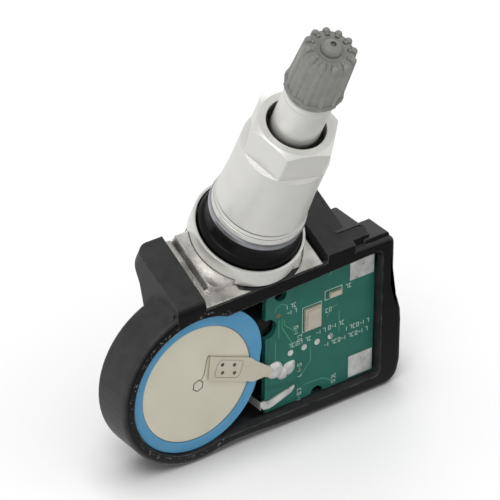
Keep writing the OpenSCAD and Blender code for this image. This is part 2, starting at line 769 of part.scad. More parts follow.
// Nut with a round skirt, six milled flats and a chamfered top
hex_s = nut_end_s - hex_h;
ledge_h = 0.5;
top_wall = 2.4;
seam_turn = 30.5;
module collar_nut() {
    c = nut_collar_h;
    bead = 0.15;
    top_chamfer = 0.6;
    color([0.82, 0.82, 0.8]) on_stem() rotate([0, 0, hex_turn - seam_turn]) difference() {
        rotate_extrude($fn = 120) polygon([
            [thread_r + run, nut_s], [nut_collar_r - 0.1, nut_s],
            [nut_collar_r, nut_s + 0.1], [nut_collar_r, nut_s + c],
            [nut_collar_r - bead, nut_s + c + 0.1], [nut_collar_r - bead / 2, nut_s + c + 0.35],
            [nut_skirt_r - bead, nut_s + c + 0.7], [nut_skirt_r - bead, nut_s + c + 0.95],
            [nut_skirt_r, nut_s + c + 1.1], [nut_top_r + 0.04, (nut_s + hex_s) / 2],
            [nut_top_r, hex_s - 2 * ledge_h],
            [nut_top_r, nut_end_s - top_chamfer], [hex_af / 2 - 0.25, nut_end_s],
            [nut_hole_r + 0.1, nut_end_s], [nut_hole_r, nut_end_s - 0.1], [nut_hole_r, nut_end_s - top_wall],
            [thread_r + run + 0.3, nut_end_s - top_wall - 0.4], [thread_r + run + 0.3, thread_top + 1],
            [thread_r + run, thread_top]
        ]);
        for (i = [0:5]) rotate([0, 0, seam_turn + 60 * i]) flat_cut();
    }
}

// Removes what stands outside one flat, down to a sloping ledge
module flat_cut() {
    af = hex_af / 2;
    rotate([90, 0, 0]) translate([0, 0, -6]) linear_extrude(12) polygon([
        [af, hex_s], [nut_top_r + 1, hex_s - ledge_h], [nut_top_r + 1, nut_end_s + 1], [af, nut_end_s + 1]
    ]);
}

// Valve core, screwed into the stem's tip

core_top_s = tip_s - 1.2;
core_head_len = 4.2;
core_low_s = core_seat_s - 1.5;
spring_room_r = 1.1;
spring_low_s = core_low_s + 2;
spring_top_s = core_top_s - core_head_len - 1.2;
module core_body() {
    bore = pin_r + run;
    head_low = core_top_s - core_head_len;
    color([0.78, 0.68, 0.42]) on_stem() difference() {
        rotate_extrude($fn = 72) polygon([
            [bore, core_low_s], [core_barrel_r, core_low_s], [core_barrel_r, head_low - 0.5],
            [core_head_r - 0.2, head_low], [core_head_r, head_low + 0.2], [core_head_r, core_top_s - 0.2],
            [core_head_r - 0.2, core_top_s], [pin_r + 0.5, core_top_s], [pin_r + 0.5, core_top_s - 1.2],
            [bore, core_top_s - 1.5], [bore, spring_top_s + 0.8], [spring_room_r, spring_top_s + 0.7],
            [spring_room_r, spring_low_s], [bore, spring_low_s]
        ]);
        for (x = [-1, 1]) translate([x * 1.9 - 0.5, -3, core_top_s - 1.5]) cube([1, 6, 3]);
    }
}

// Ring that seals the core against the stem's cone
module core_gasket() {
    color([0.85, 0.83, 0.78]) on_stem() rotate_extrude($fn = 72) polygon([
        [core_barrel_r + fit, core_seat_s + 2.7], [core_barrel_r + 0.3, core_seat_s + 2.7],
        [core_chamber_r - 0.1, core_seat_s + 4.15], [core_chamber_r - 0.1, core_seat_s + 5.2],
        [core_barrel_r + fit, core_seat_s + 5.2]
    ]);
}

pin_top_s = tip_s - 0.3;
pin_cup_t = 0.8;
seal_t = 0.6;
module valve_pin() {
    cup_r = core_barrel_r - 0.25;
    cup_top = core_low_s - seal_t - 0.05;
    collar_r = spring_room_r - run - 0.05;
    color([0.8, 0.72, 0.5]) on_stem() rotate_extrude($fn = 48) polygon([
        [0, cup_top - pin_cup_t - 0.6], [pin_r, cup_top - pin_cup_t - 0.6], [pin_r, cup_top - pin_cup_t],
        [cup_r, cup_top - pin_cup_t], [cup_r, cup_top], [pin_r, cup_top], [pin_r, spring_top_s + fit],
        [collar_r, spring_top_s + fit], [collar_r, spring_top_s + 0.45], [pin_r, spring_top_s + 0.55],
        [pin_r, pin_top_s - 0.6], [0.75, pin_top_s - 0.6], [0.75, pin_top_s], [0, pin_top_s]
    ]);
}

// Rubber face of the pin's cup, closed against the barrel's end
module core_seat_seal() {
    color([0.15, 0.15, 0.15]) on_stem(core_low_s - seal_t)
        ring(core_barrel_r - 0.1, pin_r + fit, seal_t - fit);
}

// Spring round the pin inside the barrel, drawn as rings where its coil would lie
spring_coils = 6;
module core_spring() {
    wire = 0.16;
    mean_r = pin_r + 0.05 + wire;
    height = spring_top_s - spring_low_s - 2 * wire - 2 * fit;
    color([0.7, 0.7, 0.7]) on_stem(spring_low_s + wire + fit)
        for (i = [0:spring_coils]) translate([0, 0, height * i / spring_coils])
            rotate_extrude($fn = 36) translate([mean_r, 0]) circle(r = wire, $fn = 16);
}

// Ribbed plastic cap with a hub in its top recess

cap_top_s = cap_s + cap_h;
rib_top_s = cap_top_s - 1.1;
rib_turn = 37;
rib_lean = 2.3;
module cap_seal() {
    color([0.1, 0.1, 0.1]) on_stem(tip_s + 0.05) ring(tip_thread_r - 0.1, 1.5, 0.55);
}

collar_h = 1.5;
nub_r = 0.62;
rib_back = 0.18;
skin_back = 0.5;
thread_room_s = tip_s + 0.65;
module cap_core_profile() {
    low = cap_r - skin_back;
    hub = cap_hub_r;
    polygon([
        [0, cap_s], [low - 0.15, cap_s], [cap_r, cap_s + collar_h - 0.5], [cap_r, cap_s + collar_h - 0.2],
        [low, cap_s + collar_h + 0.15], [low - 0.15, thread_room_s], [low - 0.4, rib_top_s - 0.9],
        [low - 0.75, rib_top_s - 0.45], [hub + 0.4, rib_top_s - 0.65], [hub + 0.05, rib_top_s - 0.5],
        [hub - 0.05, rib_top_s], [hub - 0.3, rib_top_s + 0.5], [hub - 0.75, cap_top_s - 0.2],
        [hub - 1.2, cap_top_s - 0.08], [0.42, cap_top_s - 0.35], [0, cap_top_s - 0.4]
    ]);
}

module valve_cap() {
    color([0.52, 0.52, 0.53]) on_stem() difference() {
        union() {
            difference() {
                rotate_extrude($fn = 96) cap_core_profile();
                for (i = [0:cap_ribs - 1])
                    rotate([0, 0, rib_turn + 360 / cap_ribs * (i + 0.5)]) collar_scallop();
            }
            for (i = [0:cap_ribs - 1]) rotate([0, 0, rib_turn + 360 / cap_ribs * i]) cap_rib();
        }
        translate([0, 0, cap_s - 1])
            cylinder(r = tip_thread_r + run, h = thread_room_s - cap_s + 1, $fn = 96);
    }
}

// One rib that leans in towards the top and ends in a rounded nub with a short ridge on the top face
ridge_in = 2.85;
ridge_r = 0.42;
module cap_rib() {
    foot = 0.9;
    rib_h = rib_top_s - cap_s - collar_h;
    translate([ridge_in, 0, rib_top_s - 0.7]) rotate([0, 90, 0]) cylinder(r = ridge_r, h = 1, $fn = 24);
    translate([cap_r - rib_back - nub_r, 0, cap_s + collar_h - foot]) rotate([0, -rib_lean, 0])
        rotate_extrude($fn = 32) polygon(concat(
            [[0, 0], [nub_r, 0]],
            arc(0, rib_h + foot - nub_r, nub_r, 0, 90, 5)
        ));
}

// Hollow between two ribs that scallops the collar
module collar_scallop() {
    translate([cap_r + 0.8, 0, cap_s - 1]) cylinder(r = 1.22, h = collar_h + 0.85, $fn = 32);
}

housing();
carrier_plate();
potting();
circuit_board();
sensor_chip();
crystal();
chip_capacitor();
antenna_strip();
battery_cell();
battery_sleeve();
positive_tab();
negative_tab();
solder_joints();
valve_stem();
stem_screw();
rubber_grommet();
nut_washer();
collar_nut();
core_body();
core_gasket();
core_seat_seal();
core_spring();
valve_pin();
cap_seal();
valve_cap();
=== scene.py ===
"""Looks of the tyre pressure sensor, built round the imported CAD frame.

Lengths are in millimetres until mm() or MM turns them into metres. Only the floor
and the lamps are given in metres.
"""

import math

import bpy
from mathutils import Matrix, Vector


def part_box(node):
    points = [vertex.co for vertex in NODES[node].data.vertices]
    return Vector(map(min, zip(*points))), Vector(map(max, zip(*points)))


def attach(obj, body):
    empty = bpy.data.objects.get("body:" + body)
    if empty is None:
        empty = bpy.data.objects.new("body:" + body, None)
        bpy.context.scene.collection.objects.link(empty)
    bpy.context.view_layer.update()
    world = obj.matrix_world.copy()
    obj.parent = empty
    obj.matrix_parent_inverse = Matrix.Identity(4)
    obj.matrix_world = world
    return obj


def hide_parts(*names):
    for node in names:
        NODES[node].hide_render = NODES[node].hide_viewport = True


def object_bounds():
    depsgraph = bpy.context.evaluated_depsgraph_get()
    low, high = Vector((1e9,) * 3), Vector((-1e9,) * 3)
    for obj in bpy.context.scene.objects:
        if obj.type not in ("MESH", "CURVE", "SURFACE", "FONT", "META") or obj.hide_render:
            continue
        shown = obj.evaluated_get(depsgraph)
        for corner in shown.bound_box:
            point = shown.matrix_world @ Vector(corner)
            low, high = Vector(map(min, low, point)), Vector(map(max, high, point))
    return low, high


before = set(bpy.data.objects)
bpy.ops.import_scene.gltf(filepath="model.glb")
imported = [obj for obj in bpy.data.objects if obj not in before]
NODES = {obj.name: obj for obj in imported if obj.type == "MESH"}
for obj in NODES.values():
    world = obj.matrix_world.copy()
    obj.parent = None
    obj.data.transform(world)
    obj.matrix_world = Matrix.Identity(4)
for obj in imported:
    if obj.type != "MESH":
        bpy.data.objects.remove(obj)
cad_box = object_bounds()

MM = 0.001
LEAN = math.radians(26.5)
SENSOR = "sensor"

# Depths of the faces behind the potted window, read off the CAD
CELL_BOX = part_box("battery_cell")
CELL_FACE = CELL_BOX[0][1] / MM
BOARD_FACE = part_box("circuit_board")[0][1] / MM
TAB_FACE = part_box("positive_tab")[0][1] / MM
CELL_X = (CELL_BOX[0][0] + CELL_BOX[1][0]) / 2 / MM
CELL_Z = (CELL_BOX[0][2] + CELL_BOX[1][2]) / 2 / MM


# Small helpers

def mm(*v):
    return Vector([x * MM for x in v])


def on_stem(x, y, s):
    """The place, in metres, of the point that is s up the leaning stem and (x, y) off its axis."""
    c, n = math.cos(LEAN), math.sin(LEAN)
    return mm(x, y * c - s * n, y * n + s * c)


def mesh_object(name, verts, faces, mat, smooth=False):
    me = bpy.data.meshes.new(name)
    me.from_pydata([tuple(v) for v in verts], [], faces)
    me.validate()
    me.update()
    me.materials.append(mat)
    if smooth:
        me.shade_smooth()
    else:
        me.shade_flat()
    o = bpy.data.objects.new(name, me)
    bpy.context.scene.collection.objects.link(o)
    return o


def add(o, body=SENSOR):
    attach(o, body)
    return o


# Materials

def tree(name):
    """A new material, its node tree and its main shader."""
    m = bpy.data.materials.new(name)
    m.use_nodes = True
    nt = m.node_tree
    return m, nt, nt.nodes["Principled BSDF"]


def noise(nt, scale, detail=3, rough=0.55, stretch=None):
    co = nt.nodes.new("ShaderNodeTexCoord")
    n = nt.nodes.new("ShaderNodeTexNoise")
    n.inputs["Scale"].default_value = scale
    n.inputs["Detail"].default_value = detail
    n.inputs["Roughness"].default_value = rough
    if stretch:
        mp = nt.nodes.new("ShaderNodeMapping")
        mp.inputs["Rotation"].default_value = (-LEAN, 0, 0)
        mp.inputs["Scale"].default_value = stretch
        nt.links.new(co.outputs["Object"], mp.inputs["Vector"])
        nt.links.new(mp.outputs["Vector"], n.inputs["Vector"])
    else:
        nt.links.new(co.outputs["Object"], n.inputs["Vector"])
    return n.outputs["Fac"]


def ramp(nt, fac, stops):
    r = nt.nodes.new("ShaderNodeValToRGB")
    e = r.color_ramp.elements
    e[0].position, e[0].color = stops[0][0], (*stops[0][1], 1)
    e[1].position, e[1].color = stops[-1][0], (*stops[-1][1], 1)
    for pos, col in stops[1:-1]:
        k = e.new(pos)
        k.color = (*col, 1)
    nt.links.new(fac, r.inputs["Fac"])
    return r.outputs["Color"]


def map_range(nt, value, from_low, from_high, to_low=0.0, to_high=1.0, curve="LINEAR"):
    r = nt.nodes.new("ShaderNodeMapRange")
    r.interpolation_type = curve
    r.inputs["From Min"].default_value = from_low
    r.inputs["From Max"].default_value = from_high
    r.inputs["To Min"].default_value = to_low
    r.inputs["To Max"].default_value = to_high
    nt.links.new(value, r.inputs["Value"])
    return r.outputs["Result"]


def spread(nt, fac, low, high):
    """The middle stretch of a noise mapped to low..high."""
    return map_range(nt, fac, 0.3, 0.7, low, high)


def mix_colour(nt, fac, a, b):
    """Colour socket a, with the fixed colour b where fac is 1."""
    mix = nt.nodes.new("ShaderNodeMix")
    mix.data_type = "RGBA"
    nt.links.new(fac, mix.inputs["Factor"])
    nt.links.new(a, mix.inputs["A"])
    mix.inputs["B"].default_value = (*b, 1)
    return mix.outputs["Result"]


def normal_y(nt, geometry):
    """The surface normal's Y, which is -1 on faces that look out of the window side."""
    split = nt.nodes.new("ShaderNodeSeparateXYZ")
    nt.links.new(geometry.outputs["Normal"], split.inputs[0])
    return split.outputs["Y"]


def soft_normal(nt, radius):
    """Normals that round the edges off by that radius."""
    b = nt.nodes.new("ShaderNodeBevel")
    b.samples = 6
    b.inputs["Radius"].default_value = radius * MM
    return b.outputs["Normal"]


def bump(nt, bsdf, fac, depth, soft=None):
    b = nt.nodes.new("ShaderNodeBump")
    b.inputs["Strength"].default_value = 1.0
    b.inputs["Distance"].default_value = depth * MM
    nt.links.new(fac, b.inputs["Height"])
    if soft:
        nt.links.new(soft, b.inputs["Normal"])
    nt.links.new(b.outputs["Normal"], bsdf.inputs["Normal"])


def math_node(nt, op, a, b=None):
    n = nt.nodes.new("ShaderNodeMath")
    n.operation = op
    for i, v in enumerate((a, b)):
        if isinstance(v, (int, float)):
            n.inputs[i].default_value = v
        elif v is not None:
            nt.links.new(v, n.inputs[i])
    return n.outputs[0]


def near_line(nt, x, z, r, width):
    """1 within width of the circle of radius r round (x, z) in the window's plane, else 0."""
    co = nt.nodes.new("ShaderNodeTexCoord")
    off = nt.nodes.new("ShaderNodeVectorMath")
    off.operation = "SUBTRACT"
    off.inputs[1].default_value = (x * MM, 0, z * MM)
    nt.links.new(co.outputs["Object"], off.inputs[0])
    flat = nt.nodes.new("ShaderNodeVectorMath")
    flat.operation = "MULTIPLY"
    flat.inputs[1].default_value = (1, 0, 1)
    nt.links.new(off.outputs[0], flat.inputs[0])
    length = nt.nodes.new("ShaderNodeVectorMath")
    length.operation = "LENGTH"
    nt.links.new(flat.outputs[0], length.inputs[0])
    away = math_node(nt, "ABSOLUTE", math_node(nt, "SUBTRACT", length.outputs["Value"], r * MM))
    return math_node(nt, "LESS_THAN", away, width * MM)


def paint_occlusion_shade(nt, colour, reach, darkest, full, start=0.05):
    """Painted shade: the colour darkened where faces within reach close it in, in grooves and holes,
    where shade falls.
    """
    ao = nt.nodes.new("ShaderNodeAmbientOcclusion")
    ao.samples = 12
    ao.inputs["Distance"].default_value = reach * MM
    tone = nt.nodes.new("ShaderNodeVectorMath")
    tone.operation = "SCALE"
    nt.links.new(colour, tone.inputs[0])
    nt.links.new(map_range(nt, ao.outputs["AO"], start, full, darkest), tone.inputs["Scale"])
    return tone.outputs[0]


def surface(name, dark, light, rough=(0.4, 0.5), metal=0.0, scale=400, detail=3, bump_depth=0.0,
            bump_scale=3000, specular=0.5, stretch=None, stops=None, edge=0.0, occlusion_shade=None):
    """A procedural finish: colour and roughness vary between two values, with an optional fine bump.

    The shade argument holds what the painted shade helper takes after the colour, for painted shade in
    hollows, and stops replace the dark and light colours.
    """
    m, nt, p = tree(name)
    n = noise(nt, scale, detail, stretch=stretch)
    colour = ramp(nt, n, stops or [(0.3, dark), (0.7, light)])
    # Painted shade: the colour is darkened in hollows where faces close it in
    if occlusion_shade:
        colour = paint_occlusion_shade(nt, colour, *occlusion_shade)
    nt.links.new(colour, p.inputs["Base Color"])
    nt.links.new(spread(nt, n, *rough), p.inputs["Roughness"])
    p.inputs["Metallic"].default_value = metal
    p.inputs["Specular IOR Level"].default_value = specular
    soft = soft_normal(nt, edge) if edge else None
    if bump_depth:
        bump(nt, p, noise(nt, bump_scale, 2, stretch=stretch), bump_depth, soft)
    elif soft:
        nt.links.new(soft, p.inputs["Normal"])
    return m


def add_specks(m, x, z, r, width, tone):
    """Scattered pale specks of flash and dust near a circle on the window's rim."""
    nt = m.node_tree
    p = nt.nodes["Principled BSDF"]
    base = p.inputs["Base Color"].links[0].from_socket
    fleck = math_node(nt, "GREATER_THAN", noise(nt, 2000, 3, 0.65), 0.6)
    front = math_node(nt, "LESS_THAN", normal_y(nt, nt.nodes.new("ShaderNodeNewGeometry")), -0.5)
    on_rim = math_node(nt, "MULTIPLY", near_line(nt, x, z, r, width), front)
    fac = math_node(nt, "MULTIPLY", fleck, on_rim)
    nt.links.new(mix_colour(nt, fac, base, (tone, tone, tone)), p.inputs["Base Color"])


def housing_material():
    """Black plastic: matt on the sides and top, smooth on the rim that faces the window side, which is
    painted darker as shade.
    """
    m, nt, p = tree("housing_plastic")
    n = noise(nt, 400, 3)
    geo = nt.nodes.new("ShaderNodeNewGeometry")
    # Painted shade: faces that look out of the window side are coloured near black, darker than the
    # sides and top
    front = map_range(nt, normal_y(nt, geo), -0.7, -0.95)
    matt = ramp(nt, n, [(0.3, (0.028, 0.028, 0.0285)), (0.7, (0.042, 0.042, 0.043))])
    colour = mix_colour(nt, front, matt, (0.002, 0.002, 0.0022))
    # Edges pale in patches, partly rubbed wear and partly a painted highlight: there the rounded normal
    # leaves the face's own
    turn = nt.nodes.new("ShaderNodeVectorMath")
    turn.operation = "DOT_PRODUCT"
    nt.links.new(soft_normal(nt, 0.22), turn.inputs[0])
    nt.links.new(geo.outputs["Normal"], turn.inputs[1])
    rounded_edges = map_range(nt, turn.outputs["Value"], 0.985, 0.9)
    patchy = map_range(nt, noise(nt, 700, 5, 0.7), 0.42, 0.62, 0.0, 0.75)
    wear_and_highlight = math_node(nt, "MULTIPLY", rounded_edges, patchy)
    nt.links.new(mix_colour(nt, wear_and_highlight, colour, (0.16, 0.16, 0.16)), p.inputs["Base Color"])
    rough = map_range(nt, front, 0.0, 1.0, 0.5, 0.28)
    nt.links.new(math_node(nt, "ADD", rough, spread(nt, n, -0.04, 0.04)), p.inputs["Roughness"])
    p.inputs["Specular IOR Level"].default_value = 0.22
    bump(nt, p, noise(nt, 2600, 2), 0.012, soft_normal(nt, 0.3))
    return m


RIM_SPECKS_R = 13.55
M_HOUSING = housing_material()
add_specks(M_HOUSING, CELL_X, CELL_Z, RIM_SPECKS_R, width=0.35, tone=0.12)
# Painted shade darkens the plate where faces close it in, in its grooves
M_PLATE = surface("nickel_plate", (0.22, 0.20, 0.16), (0.74, 0.71, 0.64), (0.18, 0.36), 0.75, 330, 7,
                  bump_depth=0.025, bump_scale=1100, edge=0.3, occlusion_shade=(0.8, 0.3, 0.6),
                  stops=[(0.2, (0.3, 0.29, 0.27)), (0.42, (0.5, 0.485, 0.455)),
                         (0.62, (0.7, 0.68, 0.645)), (0.85, (0.85, 0.84, 0.81))])
M_BOARD = surface("board_green", (0.014, 0.125, 0.092), (0.02, 0.15, 0.112), (0.4, 0.5), 0.0, 300,
                  specular=0.3)
M_CHIP = surface("chip_black", (0.015, 0.015, 0.015), (0.03, 0.03, 0.03), (0.45, 0.6))
M_TAN = surface("tan_lid", (0.52, 0.46, 0.37), (0.6, 0.54, 0.45), (0.35, 0.5), 0.2, 900)
M_TINNED = surface("tinned", (0.5, 0.5, 0.48), (0.86, 0.85, 0.82), (0.25, 0.45), 0.5, 420, 4,
                   bump_depth=0.03, bump_scale=700, edge=0.15)
M_CELL = surface("cell_steel", (0.66, 0.61, 0.49), (0.7, 0.65, 0.525), (0.45, 0.55), 0.1, 250, 4,
                 specular=0.3)
M_TAB = surface("tab_steel", (0.58, 0.53, 0.42), (0.63, 0.575, 0.46), (0.42, 0.5), 0.1, 250, 4,
                specular=0.3)
M_SLEEVE = surface("sleeve_blue", (0.075, 0.28, 0.48), (0.095, 0.32, 0.53), (0.3, 0.4), 0.0, 200,
                   specular=0.4)
# Painted shade darkens the nut in its grooves and inside its hole
M_METAL = surface("nut_metal", (0.69, 0.685, 0.655), (0.73, 0.725, 0.695), (0.34, 0.4), 0.45, 250, 3,
                  edge=0.08, occlusion_shade=(1.6, 0.1, 0.55))
# Painted shade darkens the stem where other faces close it in, most of all down in the nut's hole
M_STEM = surface("stem_metal", (0.7, 0.695, 0.665), (0.74, 0.735, 0.705), (0.28, 0.34), 0.55, 250, 3,
                 occlusion_shade=(2.6, 0.03, 0.45))
M_STEEL = surface("screw_steel", (0.3, 0.3, 0.29), (0.45, 0.45, 0.44), (0.3, 0.45), 1.0, 500, edge=0.1)
M_RUBBER = surface("black_rubber", (0.003, 0.003, 0.003), (0.005, 0.005, 0.005), (0.3, 0.4), 0.0, 500,
                   specular=0.12)
M_WASHER = surface("washer_steel", (0.33, 0.34, 0.365), (0.42, 0.43, 0.455), (0.3, 0.38), 1.0, 500,
                   edge=0.12)
M_BRASS = surface("core_brass", (0.55, 0.4, 0.18), (0.7, 0.54, 0.28), (0.25, 0.4), 1.0, 500)
M_GASKET = surface("gasket_white", (0.7, 0.68, 0.62), (0.8, 0.78, 0.72), (0.4, 0.5))
# Painted shade darkens the cap in the gaps between its ribs
M_CAP = surface("cap_grey", (0.2, 0.2, 0.188), (0.245, 0.245, 0.23), (0.38, 0.48), 0.0, 700, 4,
                bump_depth=0.01, bump_scale=2500, specular=0.35, edge=0.06, occlusion_shade=(1.1, 0.15, 0.9, 0.45))
# Dark metal for the rings in the nut's hole, a painted shade
M_HOLE_SHADE = surface("hole_painted_shade", (0.02, 0.02, 0.02), (0.16, 0.16, 0.155), (0.35, 0.45), 0.8, 1500, 2)
# Dark lines for the scribed marks and welds, also the painted shade in the nut's grooves
M_LINE_AND_SHADE = surface("scribed_line_and_groove_shade", (0.05, 0.045, 0.04), (0.1, 0.09, 0.08), (0.6, 0.7))


def potting_material():
    """Clear gel: see-through with a gloss, and a faint haze."""
    m, nt, p = tree("potting_gel")
    out = nt.nodes["Material Output"]
    n = noise(nt, 350, 3)
    nt.links.new(spread(nt, n, 0.06, 0.16), p.inputs["Roughness"])
    haze = ramp(nt, n, [(0.3, (0.02, 0.022, 0.024)), (0.7, (0.04, 0.042, 0.044))])
    nt.links.new(haze, p.inputs["Base Color"])
    clear = nt.nodes.new("ShaderNodeBsdfTransparent")
    clear.inputs["Color"].default_value = (0.975, 0.98, 0.98, 1)
    fres = nt.nodes.new("ShaderNodeFresnel")
    fres.inputs["IOR"].default_value = 1.4
    geo = nt.nodes.new("ShaderNodeNewGeometry")
    front = math_node(nt, "SUBTRACT", 1, geo.outputs["Backfacing"])
    gloss = math_node(nt, "MULTIPLY", fres.outputs["Fac"], 0.45)
    fac = math_node(nt, "MULTIPLY", gloss, front)
    mix = nt.nodes.new("ShaderNodeMixShader")
    nt.links.new(fac, mix.inputs["Fac"])
    nt.links.new(clear.outputs[0], mix.inputs[1])
    nt.links.new(p.outputs[0], mix.inputs[2])
    nt.links.new(mix.outputs[0], out.inputs["Surface"])
    return m


M_POTTING = potting_material()

FINISH = {
    "housing": M_HOUSING, "carrier_plate": M_PLATE, "potting": M_POTTING, "circuit_board": M_BOARD,
    "sensor_chip": M_CHIP, "crystal": M_TAN, "chip_capacitor": M_TAN, "antenna_strip": M_TINNED,
    "battery_cell": M_CELL, "battery_sleeve": M_SLEEVE, "positive_tab": M_TAB, "negative_tab": M_TINNED,
    "solder_joints": M_TINNED, "valve_stem": M_STEM, "stem_screw": M_STEEL, "rubber_grommet": M_RUBBER,
    "nut_washer": M_WASHER, "collar_nut": M_METAL, "core_body": M_BRASS, "core_gasket": M_GASKET,
    "core_seat_seal": M_RUBBER, "core_spring": M_STEEL, "valve_pin": M_BRASS, "cap_seal": M_RUBBER,
    "valve_cap": M_CAP,
}
for node, mat in FINISH.items():
    data = NODES[node].data
    data.materials.clear()
    data.materials.append(mat)


# Turned pieces with real threads, in place of the plain CAD solids

ROWS_PER_TURN = 8
SHARP_ANGLE = math.radians(28)


def lathe(name, profile, mat, body, threaded=(), seg=96, closed=True):
    """A solid of revolution round the stem's axis through (radius, height) points.

    Each threaded wall is (radius, low, high, pitch, depth) and gets a helical groove. Its two ends
    are points of the profile.
    """
    rows = []
    n = len(profile)
    for i in range(n if closed else n - 1):
        (r0, s0), (r1, s1) = profile[i], profile[(i + 1) % n]
        span = next((t for t in threaded if (r0, s0, r1, s1) == (t[0], t[1], t[0], t[2])), None)
        steps = max(1, round((s1 - s0) / span[3] * ROWS_PER_TURN)) if span else 1
        for k in range(steps):
            t = k / steps
            rows.append((r0 + (r1 - r0) * t, s0 + (s1 - s0) * t, span))
    if not closed:
        rows.append((*profile[-1], None))
    verts = []
    for r, s, span in rows:
        for k in range(seg):
            a = 2 * math.pi * k / seg
            cut = 0.0
            if span:
                _, low, high, pitch, depth = span
                phase = (s / pitch - k / seg) % 1.0
                fade = min(1.0, (s - low) / pitch, (high - s) / pitch)
                cut = depth * max(0.0, fade) * (1 - abs(2 * phase - 1))
            verts.append(on_stem((r - cut) * math.cos(a), (r - cut) * math.sin(a), s))
    m = len(rows)
    faces = []
    for i in range(m if closed else m - 1):
        j = (i + 1) % m
        for k in range(seg):
            q = (k + 1) % seg
            faces.append((i * seg + k, i * seg + q, j * seg + q, j * seg + k))
    o = mesh_object(name, verts, faces, mat, smooth=True)
    o.data.set_sharp_from_angle(angle=SHARP_ANGLE)
    return add(o, body)


# The stem has the CAD's radii and heights, and its two threads are cut in here
CLAMP_R = 5.6
CLAMP_LOW = 4.6
CLAMP_HIGH = 17.4
CLAMP_PITCH = 1.0
CLAMP_DEPTH = 0.5
TIP_R = 3.85
TIP_LOW = 36.6
TIP_HIGH = 44.3
TIP_PITCH = 0.794
TIP_DEPTH = 0.42
CUP_R = 9.05
CUP_FLOOR = -2.7
FLANGE_R = 9.6
FLANGE_LOW = -3.88
SPIGOT_R = 3.6
SPIGOT_END = -5.85
NECK_R = 4.12
STEM_PROFILE = [
    (2.02, SPIGOT_END), (SPIGOT_R, SPIGOT_END), (SPIGOT_R, FLANGE_LOW),
    (9.4, FLANGE_LOW), (9.52, -3.84), (FLANGE_R, -3.7), (FLANGE_R, -0.2), (9.54, -0.05), (9.4, 0),
    (9.15, 0), (CUP_R, -0.1), (CUP_R, CUP_FLOOR),
    (CLAMP_R, CUP_FLOOR), (CLAMP_R, CLAMP_LOW), (CLAMP_R, CLAMP_HIGH), (5.0, 18),
    (NECK_R, 19), (NECK_R, 34.92), (3.94, 35.1), (NECK_R, 35.28), (NECK_R, 36.1),
    (TIP_R, 36.4), (TIP_R, TIP_LOW), (TIP_R, TIP_HIGH), (3.45, 44.7),
    (2.6, 44.7), (2.6, 37), (1.9, 35.6), (1.9, 29), (1.6, 28.4), (1.6, 8), (2.02, 7.4),
]
stem = lathe("stem_threaded", STEM_PROFILE, M_STEM, SENSOR,
             threaded=[(CLAMP_R, CLAMP_LOW, CLAMP_HIGH, CLAMP_PITCH, CLAMP_DEPTH),
                       (TIP_R, TIP_LOW, TIP_HIGH, TIP_PITCH, TIP_DEPTH)])
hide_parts("valve_stem")

# Painted shade: dark bands in the two grooves above the nut's foot, as (radius, low, high) above that
# foot
NUT_FOOT = 5.75
NUT_H = 22.3
for i, (r, low, high) in enumerate(((7.615, 1.83, 2.02), (7.88, 1.14, 1.3))):
    groove = [(r, NUT_FOOT + low), (r, NUT_FOOT + high)]
    lathe(f"nut_groove_shade_{i}", groove, M_LINE_AND_SHADE, "nut", closed=False)

# Fine rings inside the nut's top hole, coloured dark as painted shade
NUT_TOP = NUT_FOOT + NUT_H
HOLE_R = 4.99
RINGS = 9
RING_STEP = 0.23
RING_W = 0.14
RING_DEPTH = 0.09
rings = [(HOLE_R, NUT_TOP - 2.35)]
for i in range(RINGS):
    s = NUT_TOP - 2.25 + RING_STEP * i
    rings += [(HOLE_R, s), (HOLE_R - RING_DEPTH, s + RING_W / 2), (HOLE_R, s + RING_W)]
rings.append((HOLE_R, NUT_TOP - 0.15))
lathe("nut_hole_rings", rings, M_HOLE_SHADE, "nut", closed=False)


# Flat marks on the faces behind the window

def lane(pts, width, closed):
    """Left and right sides of a line of that width through pts, mitred at its corners."""
    n = len(pts)
    left, right = [], []
    for i, (x, z) in enumerate(pts):
        a = pts[i - 1] if i or closed else None
        b = pts[(i + 1) % n] if i < n - 1 or closed else None
        dirs = [Vector((q[0] - p[0], q[1] - p[1])).normalized()
                for p, q in ((a, (x, z)), ((x, z), b)) if p is not None and q is not None]
        along = sum(dirs, Vector((0, 0))).normalized()
        side = Vector((-along.y, along.x))
        half = width / 2 / max(0.5, abs(side.dot(Vector((-dirs[0].y, dirs[0].x)))))
        left.append((x + side.x * half, z + side.y * half))
        right.append((x - side.x * half, z - side.y * half))
    return left, right


def stroke(name, pts, width, y, mat, depth=0.02, closed=False):
    """A thin raised line on the face at y."""
    left, right = lane(pts, width, closed)
    n = len(pts)
    # Points 0..n-1 are the front's left side, then its right side, then both sides on the face
    verts = [mm(x, yy, z) for yy in (y - depth, y) for side in (left, right) for x, z in side]
    faces = []
    for i in range(n if closed else n - 1):
        j = (i + 1) % n
        faces += [(i, n + i, n + j, j), (2 * n + i, i, j, 2 * n + j)]
        faces.append((n + i, 3 * n + i, 3 * n + j, n + j))
    if not closed:
        faces += [(0, 2 * n, 3 * n, n), (n - 1, 2 * n - 1, 4 * n - 1, 3 * n - 1)]
    return add(mesh_object(name, verts, faces, mat))


def patch(name, pts, y, mat, depth=0.03):
    """A thin flat piece on the face at y, its outline anticlockwise as seen through the window."""
    n = len(pts)
    verts = [mm(x, yy, z) for yy in (y - depth, y) for x, z in pts]
    faces = [tuple(range(n))] + [(i + n, (i + 1) % n + n, (i + 1) % n, i) for i in range(n)]
    return add(mesh_object(name, verts, faces, mat))


def circle(x, z, r, n=24, start=0.0):
    """n points round (x, z), the first of them at the angle start."""
    angles = [start + 2 * math.pi * i / n for i in range(n)]
    return [(x + r * math.cos(a), z + r * math.sin(a)) for a in angles]


